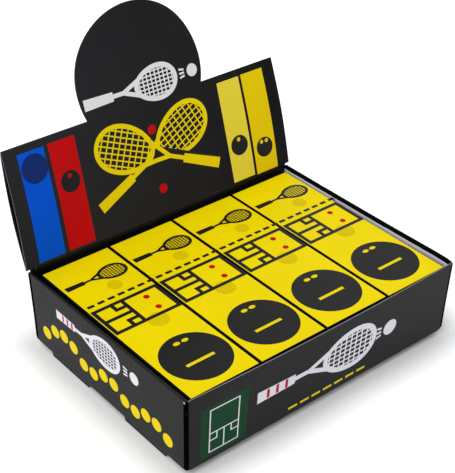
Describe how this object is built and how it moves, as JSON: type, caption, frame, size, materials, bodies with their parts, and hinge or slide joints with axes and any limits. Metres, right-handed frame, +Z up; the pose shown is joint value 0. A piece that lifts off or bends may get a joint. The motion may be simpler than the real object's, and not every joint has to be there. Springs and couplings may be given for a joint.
{
  "type": "counter display carton of squash balls",
  "caption": "Open counter tray of black folding board with a folded, leaning header, holding long yellow tuck-end cartons, each with a row of hollow rubber squash balls",
  "frame": {"origin": "middle of the underside of the tray's base", "axes": "+X along the front to the right, +Y to the back, +Z up"},
  "size_m": [0.183, 0.1667, 0.1655],
  "materials": {
    "tray_board": "satin printed black",
    "liner_board": "matte unprinted",
    "carton_board": "satin printed yellow",
    "ball_rubber": "matte"
  },
  "bodies": {
    "tray": {"tray_base": "tray_board", "front_wall": "tray_board", "back_wall": "tray_board", "left_wall": "tray_board", "right_wall": "tray_board", "left_liner": "liner_board", "right_liner": "liner_board", "front_left_corner_flap": "tray_board", "front_right_corner_flap": "tray_board", "back_left_corner_flap": "tray_board", "back_right_corner_flap": "tray_board"},
    "lid": {"lid_panel": "tray_board"},
    "header": {"header_panel": "tray_board"},
    "tuck": {"tuck_flap": "tray_board"},
    "carton_1": {"carton_1_sleeve": "carton_board", "carton_1_front_closure": "carton_board", "carton_1_back_closure": "carton_board", "carton_1_front_dust_flaps": "carton_board", "carton_1_back_dust_flaps": "carton_board", "carton_1_ball_1_upper_half": "ball_rubber", "carton_1_ball_1_lower_half": "ball_rubber", "carton_1_ball_2_upper_half": "ball_rubber", "carton_1_ball_2_lower_half": "ball_rubber", "carton_1_ball_3_upper_half": "ball_rubber", "carton_1_ball_3_lower_half": "ball_rubber"},
    "carton_2": {"carton_2_sleeve": "carton_board", "carton_2_front_closure": "carton_board", "carton_2_back_closure": "carton_board", "carton_2_front_dust_flaps": "carton_board", "carton_2_back_dust_flaps": "carton_board", "carton_2_ball_1_upper_half": "ball_rubber", "carton_2_ball_1_lower_half": "ball_rubber", "carton_2_ball_2_upper_half": "ball_rubber", "carton_2_ball_2_lower_half": "ball_rubber", "carton_2_ball_3_upper_half": "ball_rubber", "carton_2_ball_3_lower_half": "ball_rubber"},
    "carton_3": {"carton_3_sleeve": "carton_board", "carton_3_front_closure": "carton_board", "carton_3_back_closure": "carton_board", "carton_3_front_dust_flaps": "carton_board", "carton_3_back_dust_flaps": "carton_board", "carton_3_ball_1_upper_half": "ball_rubber", "carton_3_ball_1_lower_half": "ball_rubber", "carton_3_ball_2_upper_half": "ball_rubber", "carton_3_ball_2_lower_half": "ball_rubber", "carton_3_ball_3_upper_half": "ball_rubber", "carton_3_ball_3_lower_half": "ball_rubber"},
    "carton_4": {"carton_4_sleeve": "carton_board", "carton_4_front_closure": "carton_board", "carton_4_back_closure": "carton_board", "carton_4_front_dust_flaps": "carton_board", "carton_4_back_dust_flaps": "carton_board", "carton_4_ball_1_upper_half": "ball_rubber", "carton_4_ball_1_lower_half": "ball_rubber", "carton_4_ball_2_upper_half": "ball_rubber", "carton_4_ball_2_lower_half": "ball_rubber", "carton_4_ball_3_upper_half": "ball_rubber", "carton_4_ball_3_lower_half": "ball_rubber"}
  },
  "joints": [
    {"name": "lid_hinge", "type": "hinge", "parent": "tray", "child": "lid", "pos_m": [0, 0.0659, 0.04675], "axis": [-1, 0, 0], "range_deg": [-107, 0]},
    {"name": "header_crease", "type": "hinge", "parent": "lid", "child": "header", "pos_m": [0, 0.0844, 0.10864], "axis": [1, 0, 0], "range_deg": [-180, 0]},
    {"name": "tuck_crease", "type": "hinge", "parent": "header", "child": "tuck", "pos_m": [0, 0.06513, 0.04698], "axis": [-1, 0, 0], "range_deg": [-73, 0]},
    {"name": "carton_1_lift", "type": "slide", "parent": "tray", "child": "carton_1", "axis": [0, 0, 1], "range_m": [0, 0.06]},
    {"name": "carton_2_lift", "type": "slide", "parent": "tray", "child": "carton_2", "axis": [0, 0, 1], "range_m": [0, 0.06]},
    {"name": "carton_3_lift", "type": "slide", "parent": "tray", "child": "carton_3", "axis": [0, 0, 1], "range_m": [0, 0.06]},
    {"name": "carton_4_lift", "type": "slide", "parent": "tray", "child": "carton_4", "axis": [0, 0, 1], "range_m": [0, 0.06]}
  ],
  "couplings": [
    {"joint": "header_crease", "follows": "lid_hinge", "ratio": 1.6822},
    {"joint": "tuck_crease", "follows": "lid_hinge", "ratio": 0.6822}
  ]
}
